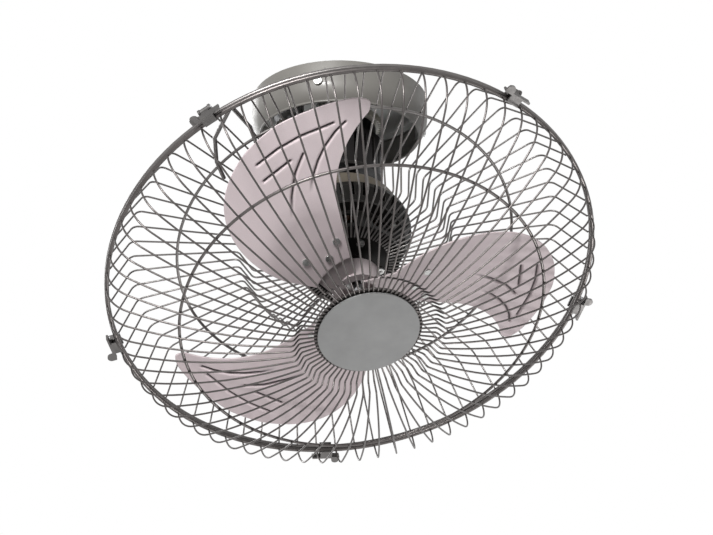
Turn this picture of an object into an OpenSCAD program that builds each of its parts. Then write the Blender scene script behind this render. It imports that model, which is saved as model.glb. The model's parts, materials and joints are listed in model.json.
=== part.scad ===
// Orbital ceiling fan: a fixed ceiling base, a neck that orbits a full turn about
// the vertical, a tilting motor head, a three-blade rotor and a two-piece radial
// wire guard held by five hinged rim clips.
// Row frame: millimetres, +Z up, origin at the centre of the ceiling mounting face.
// The head parts are drawn about the fan axis: local X to the right, local Z towards
// the air outlet, zero at the joint between the two rim rings.

/* [Guard] */
// Centreline radius of the two rim rings
rim_r = 229.5; // [225:0.5:234]
// Radius of the rim ring rod
rim_rod_r = 2.1; // [1.8:0.1:2.4]
// Radius of the radial guard wires
wire_r = 0.85; // [0.7:0.05:1]
// Radial wires in each guard
wire_count = 72; // [60:6:78]
// Front wire height where it leaves the centre step
front_rise = 86.5; // [82:0.5:92]
// Front wire height at the centre cap
front_centre_s = 78; // [74:0.5:80]
// Depth of the rear guard behind the rim joint
rear_depth = 43.4; // [42:0.2:46]
// Radius of the front support ring
front_support_r = 168.2; // [150:1:175]
// Radius of the rear support ring
rear_support_r = 162; // [150:1:170]
// Radius of the support ring rod
support_rod_r = 1.4; // [1.2:0.05:1.6]
// Height of the front guard shoulder above the rim joint
shoulder_s = 25; // [22:0.5:28]
// Radius of the centre cap
cap_r = 46.7; // [42:0.5:50]

/* [Rotor] */
// Blade tip radius
blade_r = 196; // [180:1:198]
// Blade root radius
blade_root_r = 43; // [40:0.5:46]
// Blade rise per millimetre across the blade
blade_pitch = 0.18; // [0.12:0.01:0.2]
// Blade height at its centreline, forward of the rim joint
blade_s = 27.5; // [25:0.5:29]
// Blade sheet thickness
blade_sheet = 1.5; // [1.2:0.1:1.8]
// Direction of the first blade
blade_turn = 157; // [0:1:359]

/* [Head] */
// Angle of the fan axis from straight down
tilt = 30; // [20:1:35]
// Height of the tilt pivot below the ceiling
pivot_drop = 106; // [105:1:112]
// Tilt pivot distance behind the rim joint
pivot_back = 104.5; // [103:0.5:110]
// Tilt pivot offset above the fan axis
pivot_side = 12; // [8:1:14]

/* [Motor] */
// Step from the slotted motor shell in to the rear cover
cover_inset = 6; // [5:0.5:8]
// Outer radius of the slotted motor shell
shell_r = 66; // [64:0.5:69]
// Length of the stator stack
stack_len = 24; // [20:1:24]
// Motor shaft radius
shaft_r = 4; // [3.5:0.1:4.2]
// Cooling slots in the motor shell
shell_slots = 36; // [24:2:40]

/* [Ceiling base] */
// Outer radius of the canopy
canopy_r = 87.5; // [86:0.5:92]
// Height of the canopy
canopy_h = 40; // [36:1:42]
// Canopy sheet thickness
canopy_sheet = 1.5; // [1:0.1:2]
// Bolt circle of the ceiling fixing holes
fixing_pcd = 130; // [120:1:136]
// Radius of the ceiling fixing holes
fixing_hole_r = 3; // [2.5:0.1:3.5]

/* [Orbit drive] */
// Teeth on the orbit gear
gear_teeth = 54; // [52:1:56]
// Teeth on the drive pinion
pinion_teeth = 14; // [13:1:16]
// Gear module
gear_module = 1.5; // [1.45:0.01:1.55]
// Outer radius of the neck housing
neck_r = 42; // [41:0.5:44]
// Spindle post radius
spindle_r = 9; // [8.5:0.1:9.5]

/* [Hidden] */
$fn = 96;
fit = 0.05;
weld = 0.2;
air = 0.3;
eps = 0.5;

// guard profile
bend_lap = 0.25;
bend_swell = 0.03;
wire_pitch = 360 / wire_count;
clip_count = 5;
clip_step = floor(wire_count / clip_count) * wire_pitch;
ring_gap = 0.4;
ring_s = rim_rod_r + ring_gap / 2;
ring_front_s = ring_s + rim_rod_r;
rear_wire_end_r = rim_r - rim_rod_r - wire_r + weld;
front_step_in_r = 63.5;
front_step_out_r = 69.8;
front_start_r = 38;
crown_r = 146.5;
crown_drop = 12;
crown_s = front_rise - crown_drop;
shoulder_drop_deg = atan2(crown_s - shoulder_s, rim_r - crown_r);
shoulder_run = shoulder_s - ring_front_s - 1;
crown_turn = shoulder_drop_deg - atan2(crown_drop, crown_r - front_step_out_r);
crown_run = min(
    norm([crown_r - front_step_out_r, crown_drop]) - 4.6,
    norm([rim_r - crown_r, crown_s - shoulder_s]) - shoulder_run - 1
);
front_path = [
    [front_start_r, front_centre_s, 0],
    [front_step_in_r, front_centre_s, 4],
    [front_step_out_r, front_rise, 4],
    [crown_r, crown_s, crown_run / tan(crown_turn / 2)],
    [rim_r, shoulder_s, shoulder_run / tan(45 - shoulder_drop_deg / 2)],
    [rim_r, ring_front_s - weld, 0]
];
rear_inner_s = -13.6;
rear_start_r = 36;
rear_step_in_r = 93;
rear_step_out_r = 104;
rear_bend_r = rim_r - 24.5;
rear_path = [
    [rear_start_r, rear_inner_s, 0],
    [rear_step_in_r, rear_inner_s, 6],
    [rear_step_out_r, -rear_depth, 6],
    [rear_bend_r, -rear_depth, 10],
    [rear_wire_end_r, -ring_s - 0.2, 0]
];
rear_support_s = -rear_depth + wire_r + support_rod_r - weld;

// centre plate and cap of the front guard
plate_sheet = 1.5;
front_plate_s = front_centre_s - wire_r + weld;
front_plate_r = cap_r + 3;
cap_back = front_centre_s + wire_r + 0.1;
cap_sheet = 1.5;
cap_boss_r = 6;
cap_screw_r = 2;
cap_screw_head_r = 4;
cap_screw_head_h = 2.5;

// rear guard plate on the motor front bell
rear_plate_front = rear_inner_s - wire_r + weld;
rear_plate_back = rear_plate_front - plate_sheet;
rear_plate_r = 46;
rear_plate_bore_r = 14;
rear_screw_pcr = 29;
rear_screw_r = 2;
rear_screw_head_r = 3.6;
rear_screw_head_h = 2.4;

// rim clips
clip_w = 12;
latch_len = 28;
latch_gap = 1.5;
ear_w = 1.8;
clip_plate_in = rim_r + rim_rod_r + 0.1;
clip_sheet = 2;
clip_lip_top = -ring_s - rim_rod_r + 0.1;
clip_lip_in = rim_r - 3;
pin_r = 1.2;
latch_knuckle_r = 2.4;
pin_x = clip_plate_in + clip_sheet + 3.2;
pin_s = -4;
latch_w = clip_w - 2 * ear_w - 0.6;
latch_under = ring_s + rim_rod_r + 0.4;
latch_sheet = 1.8;
latch_tab = 8;
latch_tab_w = 8;
latch_hook_in = rim_r - 1.1;

// brace rods
brace_rod_r = 1.9;
brace_clip = 2;
brace_rim_r = rim_r - 2.8;
brace_rim_s = 0.6 - ring_s;
brace_rim_deg = -4.6;
brace_mid_r = rim_r - 35.5;
brace_mid_s = -28;
brace_in_s = rear_support_s + support_rod_r + brace_rod_r - weld;
// radius, direction from the clip and height along each brace rod
brace_paths = [
    [
        [brace_rim_r, brace_rim_deg, brace_rim_s],
        [brace_mid_r, 5.3, brace_mid_s],
        [rear_support_r + 6.7, 12, brace_in_s],
        [rear_support_r - 11, 15.7, brace_in_s]
    ],
    [
        [brace_rim_r, brace_rim_deg - 0.6, brace_rim_s],
        [rear_support_r + 14.3, -3.2, brace_in_s],
        [rear_support_r - 3.5, -1.4, brace_in_s]
    ]
];

// motor stations along the fan axis
bell_front = rear_plate_back;
bell_wall = 2.5;
bell_back = -43;
bell_flange = 3;
bell_post_r = 3.5;
bell_pillars = 6;
bell_window = 38;
shell_back = -62;
shell_sheet = 2.5;
cover_back = -88;
cover_r = shell_r - cover_inset;
cover_sheet = 2.5;
cover_round = 8;
core_mid = -62;
core_back = core_mid - stack_len / 2;
core_front = core_mid + stack_len / 2;
core_corner_r = cover_r - cover_sheet - 2.5;
core_half = core_corner_r - 11;
core_tooth_w = 10;
core_teeth = 8;
slot_out_r = core_half - 3.5;
tooth_reach = 18.1;
tooth_tip = 3.1;
rotor_air = 0.4;
core_bore_r = slot_out_r - tooth_reach;
slot_in_r = core_bore_r + tooth_tip;
slot_mouth = 3;
tie_pcr = core_corner_r - 4.5;
tie_r = 2;
tie_head_r = 3;
tie_post_r = 4.2;
bell_r = tie_pcr - bell_post_r;
shell_mouth_r = tie_pcr + bell_post_r + air;
shell_front_r = shell_mouth_r + shell_sheet;
bell_flange_r = shell_front_r + 0.5;
coil_in_r = slot_in_r + 2.5;
coil_out_r = slot_out_r - 2.5;
coil_bar = coil_in_r * tan(180 / core_teeth) - core_tooth_w / 2 - 1.8;
coil_over = 7;
coil_corner = 4;
bush_r = 9;
bush_len = 8;
boss_wall = 4;
rear_bush_back = cover_back + cover_sheet + 0.5;
front_bush_front = bell_front - 4;
collar_r = 6.5;
rotor_r = core_bore_r - rotor_air;
end_ring_r = rotor_r - 2;
end_ring_len = 3;

// hub and shaft end
hub_back = 3;
hub_floor = 11;
hub_top = blade_s - 1;
hub_cup_r = 24;
hub_bore_r = 17;
arm_sheet = 2;
stud_r = 3;
stud_end = 19.5;
washer_r = 9;
washer_h = 1;
nut_flat = 10;
nut_h = 5;
rivet_spots = [[67, -4], [50.5, -17.5], [55.5, -35]];
rivet_r = 2;
rivet_head_r = 3.6;
rivet_head_h = 1.2;
arm_end_r = 7.5;
arm_swell = 0.06;
arm_side = [[10, 14], [14, -16]];
blade_slope = atan(blade_pitch);

// blade outline: leading and trailing angles along the radius
blade_lead_deg = 39.5;
blade_trail_deg = 17;
blade_sweep_from = 95;
blade_sweep_span = 95;
blade_sweep_deg = 17.5;
blade_taper_from = 70;
blade_taper_span = 125;
blade_taper_deg = 28;
blade_round_deg = 14;
blade_flat_to = 75;
blade_curl_span = 40;
blade_droop = 0.028;
blade_rows = 16;
blade_cols = [0, 0.035, 0.09, 0.18, 0.3, 0.42, 0.54, 0.66, 0.78, 0.88, 0.95, 1];
blade_corner = 6;
blade_tip_drop = 9;

// pressed beads on the blade face: radius and direction along each
bead_r = 1.6;
bead_rise = 1.2;
bead_swell = 0.1;
bead_paths = [
    [[173.5, -19.5], [175.4, -26.8], [176.4, -34.1], [177.3, -43.7]],
    [[156.8, -18.1], [157.5, -23.2], [159.4, -28.3]],
    [[175.3, -47.2], [168.5, -43.9], [158.6, -40.1], [147.3, -36.6], [134.8, -33.1]],
    [[159.6, -32.8], [152.6, -30.4], [145.7, -27.8], [127.5, -22.5], [109.4, -16.9]]
];

// tilt bracket
bracket_foot = 4;
bracket_half_w = 27;
bracket_low = -10;
bracket_high = 28;
bracket_screw_x = 21;
bracket_screw_y = [-4, 20];
bracket_screw_r = 2.5;
bracket_screw_head_r = 4.2;
bracket_screw_head_h = 2.5;
tongue_half_w = 8.8;
tongue_r = 10;
fork_in = 9;
fork_out = 15;
fork_r = 11;
bolt_r = 4;
bolt_head_r = 7;
bolt_head_h = 5;
bolt_gap = 0.1;
bolt_end = 26;
wing_span = 11.5;

// ceiling plate
plate_r = canopy_r - canopy_sheet - air;
base_sheet = 2;
base_flange = 8;
tab_low = 26;
tab_deg = 12;
side_screw_z = -21;
side_screw_az = [-123, -3, 117];
side_screw_r = 2;
side_screw_head_r = 4.2;
side_screw_head_h = 2.4;
fixing_holes = 4;
cable_hole_r = 8;
cable_hole_y = -38;
canopy_straight = 20;
canopy_mouth_in = 7.5;
canopy_drop = canopy_h - canopy_straight - 2;
canopy_curve_r = (canopy_drop * canopy_drop + canopy_mouth_in * canopy_mouth_in)
    / (2 * canopy_mouth_in);
canopy_bead_r = 1.2;
tab_curl = max(0, tab_low - canopy_straight);
tab_r = plate_r - canopy_curve_r
    + sqrt(canopy_curve_r * canopy_curve_r - tab_curl * tab_curl);

// spindle stack
spindle_flange_r = 24;
spindle_flange_h = 4;
spindle_bore_r = 5.5;
spindle_low = -81;
spindle_bolt_pcr = 17.5;
spindle_bolt_r = 2.5;
spindle_bolt_head_r = 3.8;
spindle_bolt_head_h = 3;
hub_tube_r = 20;
bush_wall = 3;
tube_bore_r = spindle_r + fit + bush_wall;
gear_top = -22;
gear_h = 6;
tube_top = gear_top - gear_h;
upper_bush_top = tube_top - 2;
upper_bush_len = 12;
lower_bush_low = -72.8;
lower_bush_len = 12.8;
washer_top = lower_bush_low - 0.1;
thrust_h = 3;
thrust_r = 15.5;
locknut_h = 4.8;
locknut_flat = 24;
pocket_r = 17;
floor_top = -83.2;
floor_low = -86;
floor_hole_r = 6;
slip_top = -44;
slip_low = -56;
slip_sleeve = 1.4;
slip_ring_r = spindle_r + fit + 2.3;
brush_w = 8;
brush_h = 10;
brush_out = 27;

// gears
mesh_az = 160;
pressure_deg = 25;
mesh_slack_deg = 0.25;
gear_pitch_r = gear_teeth * gear_module / 2;
pinion_pitch_r = pinion_teeth * gear_module / 2;
gear_distance = gear_pitch_r + pinion_pitch_r;
gear_bore_r = spindle_r + 1;
gear_screw_pcr = 16;
gear_screw_r = 1.5;
gear_screw_head_r = 2.6;
gear_screw_head_h = 2;
pinion_bore_depth = 8;
pinion_shaft_r = 2;
drive_can_r = 15;
drive_can_low = -18;
drive_boss_r = 5;
drive_ear_half = 22;
drive_ear_w = 12;
drive_ear_h = 2;
drive_screw_x = 18.4;
drive_screw_r = 1.75;
drive_screw_head_r = 3.2;
drive_screw_head_h = 2.2;

// neck housing
neck_wall = 2.5;
neck_top_r = neck_r - 6;
neck_top = tube_top - 2;
neck_step = -46;
neck_web = 2;
neck_slots = 24;
neck_slot_w = 3.5;
neck_slot_top = -51;
neck_slot_low = -79;
neck_screw_z = -70;
neck_screw_az = [-20, 100, 220];
neck_screw_r = 2;
neck_screw_head_r = 4;
neck_screw_head_h = 2.5;
neck_boss_r = 4.5;

// terminal block
block_w = 32;
block_d = 14;
block_h = 12;
block_y = -59;
block_well_r = 2.4;
block_well_depth = 8;
block_poles = 3;
block_pole_gap = 9.5;

// ---- helpers ----

// unit vector from a to b
function heading(a, b) = (b - a) / norm(b - a);
// point moved to the left of the line a to b
function left_of(p, a, b, d) = p + d * [-heading(a, b)[1], heading(a, b)[0]];
// plane part of a path point
function flat(p) = [p[0], p[1]];
// turn angle at path corner i
function turn_deg(path, i) =
    let (u = heading(flat(path[i - 1]), flat(path[i])))
    let (v = heading(flat(path[i]), flat(path[i + 1])))
    atan2(u[0] * v[1] - u[1] * v[0], u[0] * v[0] + u[1] * v[1]);
// distance from corner i to where its bend starts
function bend_cut(path, i) =
    (i == 0 || i == len(path) - 1) ? 0
    : path[i][2] * tan(abs(turn_deg(path, i)) / 2);
// where the bend at corner i starts
function bend_start(path, i) =
    flat(path[i]) - heading(flat(path[i - 1]), flat(path[i])) * bend_cut(path, i);
// where the bend at corner i ends
function bend_end(path, i) =
    flat(path[i]) + heading(flat(path[i]), flat(path[i + 1])) * bend_cut(path, i);
// centre of the bend at corner i
function bend_centre(path, i) =
    left_of(bend_start(path, i), flat(path[i - 1]), flat(path[i]),
        sign(turn_deg(path, i)) * path[i][2]);

// places children on the fan axis
module head() {
    translate([0, 0, -pivot_drop])
        rotate([180 - tilt, 0, 0])
            translate([0, -pivot_side, pivot_back])
                children();
}

// straight rod between two points of a radial plane
module rod(a, b, r) {
    translate([a[0], 0, a[1]])
        rotate([0, atan2(b[0] - a[0], b[1] - a[1]), 0])
            cylinder(h = norm(b - a), r = r);
}

// bent rod: part of a torus between two rods
module bend(path, i, r) {
    c = bend_centre(path, i);
    p = bend_start(path, i) - c;
    q = bend_end(path, i) - c;
    turn = turn_deg(path, i);
    from = turn > 0 ? atan2(p[1], p[0]) : atan2(q[1], q[0]);
    translate([c[0], 0, c[1]])
        rotate([90, 0, 0])
            rotate([0, 0, from])
                rotate_extrude(angle = abs(turn))
                    translate([path[i][2], 0])
                        circle(r = r, $fn = 32);
}

// a wire that follows a path of filleted corners; its rods end just inside the
// bends, which are a hair thicker
module wire(path, r) {
    last = len(path) - 1;
    for (i = [0 : last - 1]) {
        u = heading(flat(path[i]), flat(path[i + 1])) * bend_lap;
        rod(
            i == 0 ? flat(path[0]) : bend_end(path, i) - u,
            i == last - 1 ? flat(path[last]) : bend_start(path, i + 1) + u,
            r
        );
    }
    for (i = [1 : last - 1]) {
        bend(path, i, r + bend_swell);
    }
}

// a full ring of round rod
module rod_ring(r, s, rod) {
    translate([0, 0, s])
        rotate_extrude()
            translate([r, 0])
                circle(r = rod, $fn = 32);
}

// tube between two heights
module tube(outer, inner, low, high) {
    translate([0, 0, low])
        difference() {
            cylinder(h = high - low, r = outer);
            translate([0, 0, -eps])
                cylinder(h = high - low + 2 * eps, r = inner);
        }
}

// solid disc between two heights
module disc(r, low, high) {
    translate([0, 0, low])
        cylinder(h = high - low, r = r);
}

// children repeated at a radius and a list of directions
module around(r, directions) {
    for (a = directions) {
        rotate([0, 0, a])
            translate([r, 0, 0])
                children();
    }
}

// evenly spaced directions
function spread(n, from) = [for (i = [0 : n - 1]) from + i * 360 / n];

// pan screw pointing down +Z: head below zero, shank above
module pan_screw(shank_r, length, head_r, head_h) {
    cylinder(h = length, r = shank_r);
    difference() {
        translate([0, 0, -head_h])
            cylinder(h = head_h, r = head_r);
        for (a = [0, 90]) {
            rotate([0, 0, a])
                translate([-head_r * 0.6, -0.45, -head_h - eps])
                    cube([head_r * 1.2, 0.9, 1 + eps]);
        }
    }
}

// hexagon prism
module hexagon(flat_w, h) {
    cylinder(h = h, r = flat_w / sqrt(3), $fn = 6);
}

// ---- gears ----

function involute_deg(a) = tan(a) * 180 / PI - a;
// half tooth angle at radius r
function half_tooth(n, pitch_r, r) =
    let (base_r = pitch_r * cos(pressure_deg))
    let (a = acos(min(1, base_r / r)))
    90 / n - mesh_slack_deg * gear_pitch_r / pitch_r
        + involute_deg(pressure_deg) - involute_deg(a);
function polar(r, a) = [r * cos(a), r * sin(a)];

module gear_outline(n) {
    pitch_r = n * gear_module / 2;
    base_r = pitch_r * cos(pressure_deg);
    root_r = pitch_r - 1.25 * gear_module;
    tip_r = pitch_r + gear_module;
    steps = [root_r, max(root_r + 0.05, base_r), pitch_r, (pitch_r + tip_r) / 2, tip_r];
    polygon([
        for (k = [0 : n - 1])
            for (j = [0 : 2 * len(steps) - 1])
                let (up = j < len(steps))
                let (r = up ? steps[j] : steps[2 * len(steps) - 1 - j])
                let (w = half_tooth(n, pitch_r, r))
                polar(r, k * 360 / n + (up ? -w : w))
    ]);
}

// ---- ceiling base ----

module ceiling_plate() {
    color([0.72, 0.72, 0.70])
    difference() {
        union() {
            disc(plate_r, -base_sheet, 0);
            tube(tab_r, tab_r - base_sheet, -tab_low, -base_sheet);
        }
        for (a = side_screw_az) {
            rotate([0, 0, a + tab_deg / 2])
                translate([0, 0, -tab_low - eps])
                    rotate_extrude(angle = 360 / len(side_screw_az) - tab_deg)
                        translate([plate_r - 4 * base_sheet, 0])
                            square([8 * base_sheet, tab_low + eps - base_flange]);
        }
        around(fixing_pcd / 2, spread(fixing_holes, 45)) {
            disc(fixing_hole_r, -base_sheet - eps, eps);
        }
        around(spindle_bolt_pcr, spread(4, 45)) {
            disc(spindle_bolt_r + fit, -base_sheet - eps, eps);
        }
        disc(spindle_bore_r, -base_sheet - eps, eps);
        translate([0, cable_hole_y, 0])
            disc(cable_hole_r, -base_sheet - eps, eps);
        at_drive() {
            for (y = [-drive_screw_x, drive_screw_x]) {
                translate([0, y, 0])
                    disc(drive_screw_r + fit, -base_sheet - eps, eps);
            }
        }
        side_holes(side_screw_r + fit);
    }
}

// radial holes for the canopy screws
module side_holes(r) {
    for (a = side_screw_az) {
        rotate([0, 0, a])
            translate([plate_r - 2 * base_sheet, 0, side_screw_z])
                rotate([0, 90, 0])
                    cylinder(h = 4 * base_sheet + canopy_sheet, r = r);
    }
}

module canopy() {
    curve_x = canopy_r - canopy_curve_r;
    mouth_r = canopy_r - canopy_mouth_in;
    mouth_z = -canopy_straight - canopy_drop;
    color([0.70, 0.70, 0.67])
    difference() {
        rotate_extrude() {
            translate([canopy_r - canopy_sheet, -canopy_straight])
                square([canopy_sheet, canopy_straight]);
            intersection() {
                translate([curve_x, -canopy_straight])
                    difference() {
                        circle(r = canopy_curve_r);
                        circle(r = canopy_curve_r - canopy_sheet);
                    }
                translate([mouth_r - 4 * canopy_sheet, mouth_z])
                    square([canopy_mouth_in + 6 * canopy_sheet, canopy_drop]);
            }
            translate([mouth_r - canopy_sheet / 2, mouth_z - canopy_bead_r / 2])
                circle(r = canopy_bead_r);
        }
        side_holes(side_screw_r + air);
    }
}

module canopy_screws() {
    color([0.80, 0.80, 0.80])
    for (a = side_screw_az) {
        rotate([0, 0, a])
            translate([canopy_r, 0, side_screw_z])
                rotate([0, -90, 0])
                    pan_screw(side_screw_r, canopy_sheet + base_sheet + 3,
                        side_screw_head_r, side_screw_head_h);
    }
}

module terminal_block() {
    color([0.88, 0.86, 0.80])
    translate([-block_w / 2, block_y - block_d / 2, -base_sheet - block_h])
        difference() {
            cube([block_w, block_d, block_h]);
            for (i = [0 : block_poles - 1]) {
                x = block_w / 2 + (i - (block_poles - 1) / 2) * block_pole_gap;
                translate([x, block_d / 2, -eps])
                    cylinder(h = block_well_depth, r = block_well_r);
                translate([x, -eps, block_h / 2])
                    rotate([-90, 0, 0])
                        cylinder(h = block_d + 2 * eps, r = block_well_r * 0.7);
            }
        }
}

// places children on the drive motor axis
module at_drive() {
    rotate([0, 0, mesh_az])
        translate([gear_distance, 0, 0])
            children();
}

module orbit_motor() {
    color([0.62, 0.63, 0.64])
    at_drive()
        difference() {
            union() {
                disc(drive_can_r, drive_can_low, -base_sheet);
                disc(drive_boss_r, drive_can_low - 2, drive_can_low);
                translate([-drive_ear_w / 2, -drive_ear_half, -base_sheet - drive_ear_h])
                    cube([drive_ear_w, 2 * drive_ear_half, drive_ear_h]);
            }
            for (y = [-drive_screw_x, drive_screw_x]) {
                translate([0, y, 0])
                    disc(drive_screw_r + fit, -base_sheet - drive_ear_h - eps, 0);
            }
            disc(pinion_shaft_r + fit, drive_can_low - 2 - eps,
                drive_can_low + pinion_bore_depth);
        }
}

module orbit_motor_screws() {
    color([0.78, 0.78, 0.76])
    at_drive()
        for (y = [-drive_screw_x, drive_screw_x]) {
            translate([0, y, -base_sheet - drive_ear_h])
                pan_screw(drive_screw_r, base_sheet + drive_ear_h - 0.2,
                    drive_screw_head_r, drive_screw_head_h);
        }
}

module spindle() {
    flange_low = -base_sheet - spindle_flange_h;
    color([0.66, 0.67, 0.68])
    difference() {
        union() {
            disc(spindle_flange_r, flange_low, -base_sheet);
            disc(spindle_r, spindle_low, flange_low);
        }
        disc(spindle_bore_r, spindle_low - eps, 0);
        around(spindle_bolt_pcr, spread(4, 45)) {
            disc(spindle_bolt_r + fit, flange_low - eps, 0);
        }
    }
}

module spindle_bolts() {
    flange_low = -base_sheet - spindle_flange_h;
    color([0.78, 0.78, 0.76])
    around(spindle_bolt_pcr, spread(4, 45)) {
        disc(spindle_bolt_r, flange_low, -0.2);
        translate([0, 0, flange_low - spindle_bolt_head_h])
            hexagon(spindle_bolt_head_r * sqrt(3), spindle_bolt_head_h);
    }
}

module slip_rings() {
    mid = (slip_top + slip_low) / 2;
    color([0.78, 0.56, 0.28])
    difference() {
        union() {
            disc(spindle_r + fit + slip_sleeve, slip_low, slip_top);
            disc(slip_ring_r, mid + 1, mid + 4);
            disc(slip_ring_r, mid - 4, mid - 1);
        }
        disc(spindle_r + fit / 2, slip_low - eps, slip_top + eps);
    }
}

module thrust_washer() {
    color([0.75, 0.62, 0.34])
    tube(thrust_r, spindle_r + fit, washer_top - thrust_h, washer_top);
}

module spindle_nut() {
    top = washer_top - thrust_h;
    color([0.70, 0.70, 0.72])
    difference() {
        translate([0, 0, top - locknut_h])
            hexagon(locknut_flat, locknut_h);
        disc(spindle_r + fit, top - locknut_h - eps, top + eps);
    }
}

// ---- orbit drive and neck ----

module drive_pinion() {
    color([0.90, 0.89, 0.82])
    at_drive() {
        translate([0, 0, tube_top])
            rotate([0, 0, 180 / pinion_teeth * (1 + pinion_teeth % 2)])
                linear_extrude(height = gear_h - 0.4)
                    gear_outline(pinion_teeth);
        disc(pinion_shaft_r, tube_top + gear_h - 0.4,
            drive_can_low + pinion_bore_depth - 1);
    }
}

module orbit_gear() {
    color([0.90, 0.89, 0.82])
    difference() {
        rotate([0, 0, mesh_az])
            translate([0, 0, tube_top])
                linear_extrude(height = gear_h)
                    gear_outline(gear_teeth);
        disc(gear_bore_r, tube_top - eps, gear_top + eps);
        around(gear_screw_pcr, spread(3, 40)) {
            disc(gear_screw_r + fit, tube_top - eps, gear_top + eps);
        }
    }
}

module gear_screws() {
    color([0.78, 0.78, 0.76])
    around(gear_screw_pcr, spread(3, 40)) {
        translate([0, 0, gear_top])
            rotate([180, 0, 0])
                pan_screw(gear_screw_r, gear_h + 8, gear_screw_head_r, gear_screw_head_h);
    }
}

module neck_housing() {
    color([0.07, 0.07, 0.07])
    difference() {
        union() {
            tube(neck_r, neck_r - neck_wall, floor_top, neck_step);
            tube(neck_r, neck_top_r - neck_wall, neck_step - neck_web, neck_step);
            tube(neck_top_r, neck_top_r - neck_wall, neck_step - neck_web, neck_top);
            tube(neck_top_r, hub_tube_r + 0.1, neck_top - neck_web, neck_top);
        }
        for (i = [0 : neck_slots - 1]) {
            rotate([0, 0, neck_screw_az[0] + (i + 0.5) * 360 / neck_slots])
                translate([neck_r - 2 * neck_wall, -neck_slot_w / 2, neck_slot_low])
                    cube([4 * neck_wall, neck_slot_w, neck_slot_top - neck_slot_low]);
        }
        for (a = neck_screw_az) {
            rotate([0, 0, a])
                translate([neck_r - 2 * neck_wall, 0, neck_screw_z])
                    rotate([0, 90, 0])
                        cylinder(h = 4 * neck_wall, r = neck_screw_r + fit);
        }
    }
}

module neck_screws() {
    color([0.80, 0.80, 0.80])
    for (a = neck_screw_az) {
        rotate([0, 0, a])
            translate([neck_r, 0, neck_screw_z])
                rotate([0, -90, 0])
                    pan_screw(neck_screw_r, 10, neck_screw_head_r, neck_screw_head_h);
    }
}

module swivel_hub() {
    floor_r = neck_r - 0.1;
    color([0.16, 0.16, 0.16])
    difference() {
        union() {
            disc(hub_tube_r, floor_top, tube_top);
            disc(floor_r, floor_low, floor_top);
            for (a = neck_screw_az) {
                rotate([0, 0, a])
                    translate([pocket_r, 0, neck_screw_z])
                        rotate([0, 90, 0])
                            cylinder(h = neck_r - neck_wall - 0.3 - pocket_r, r = neck_boss_r);
            }
            for (x = [-fork_out, fork_in]) {
                translate([x, 0, -pivot_drop])
                    rotate([0, 90, 0])
                        cylinder(h = fork_out - fork_in, r = fork_r);
                translate([x, -fork_r, -pivot_drop])
                    cube([fork_out - fork_in, 2 * fork_r, pivot_drop + floor_low]);
            }
        }
        disc(tube_bore_r, lower_bush_low, tube_top + eps);
        disc(pocket_r, floor_top, lower_bush_low);
        disc(floor_hole_r, floor_low - eps, floor_top + eps);
        around(gear_screw_pcr, spread(3, 40)) {
            disc(gear_screw_r + fit, tube_top - 9, tube_top + eps);
        }
        for (a = neck_screw_az) {
            rotate([0, 0, a])
                translate([neck_r - 11, 0, neck_screw_z])
                    rotate([0, 90, 0])
                        cylinder(h = 11, r = neck_screw_r + fit);
        }
        rotate([0, 0, 40])
            translate([spindle_r, -brush_w / 2 - 0.2, (slip_top + slip_low - brush_h) / 2 - 0.2])
                cube([brush_out, brush_w + 0.4, brush_h + 0.4]);
        translate([-fork_out - eps, 0, -pivot_drop])
            rotate([0, 90, 0])
                cylinder(h = 2 * fork_out + 2 * eps, r = bolt_r + fit);
    }
}

module upper_bearing() {
    color([0.75, 0.56, 0.30])
    tube(tube_bore_r - 0.02, spindle_r + fit, upper_bush_top - upper_bush_len, upper_bush_top);
}

module lower_bearing() {
    color([0.75, 0.56, 0.30])
    tube(tube_bore_r - 0.02, spindle_r + fit, lower_bush_low, lower_bush_low + lower_bush_len);
}

module brush_holder() {
    mid = (slip_top + slip_low) / 2;
    color([0.35, 0.22, 0.12])
    rotate([0, 0, 40])
        translate([slip_ring_r + fit, -brush_w / 2, mid - brush_h / 2])
            cube([brush_out - slip_ring_r, brush_w, brush_h]);
}

// ---- tilt joint ----

module tilt_bracket() {
    color([0.20, 0.20, 0.20])
    head()
        difference() {
            union() {
                translate([-bracket_half_w, bracket_low, cover_back - bracket_foot])
                    cube([2 * bracket_half_w, bracket_high - bracket_low, bracket_foot]);
                translate([-tongue_half_w, pivot_side, -pivot_back])
                    rotate([0, 90, 0])
                        cylinder(h = 2 * tongue_half_w, r = tongue_r);
                translate([-tongue_half_w, pivot_side - tongue_r, -pivot_back])
                    cube([
                        2 * tongue_half_w,
                        2 * tongue_r,
                        pivot_back + cover_back - bracket_foot + eps
                    ]);
            }
            translate([-tongue_half_w - eps, pivot_side, -pivot_back])
                rotate([0, 90, 0])
                    cylinder(h = 2 * tongue_half_w + 2 * eps, r = bolt_r + fit);
            bracket_spots()
                disc(bracket_screw_r + fit, cover_back - bracket_foot - eps, cover_back + eps);
        }
}

// screw positions on the tilt bracket foot
module bracket_spots() {
    for (x = [-bracket_screw_x, bracket_screw_x]) {
        for (y = bracket_screw_y) {
            translate([x, y, 0])
                children();
        }
    }
}

module bracket_screws() {
    color([0.78, 0.78, 0.76])
    head()
        bracket_spots()
            translate([0, 0, cover_back - bracket_foot])
                pan_screw(bracket_screw_r, bracket_foot + cover_sheet + 3,
                    bracket_screw_head_r, bracket_screw_head_h);
}

module tilt_bolt() {
    color([0.78, 0.78, 0.76])
    translate([0, 0, -pivot_drop])
        rotate([0, 90, 0]) {
            disc(bolt_r, -fork_out - bolt_gap, bolt_end);
            translate([0, 0, -fork_out - bolt_gap - bolt_head_h])
                hexagon(bolt_head_r * sqrt(3), bolt_head_h);
        }
}

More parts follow.
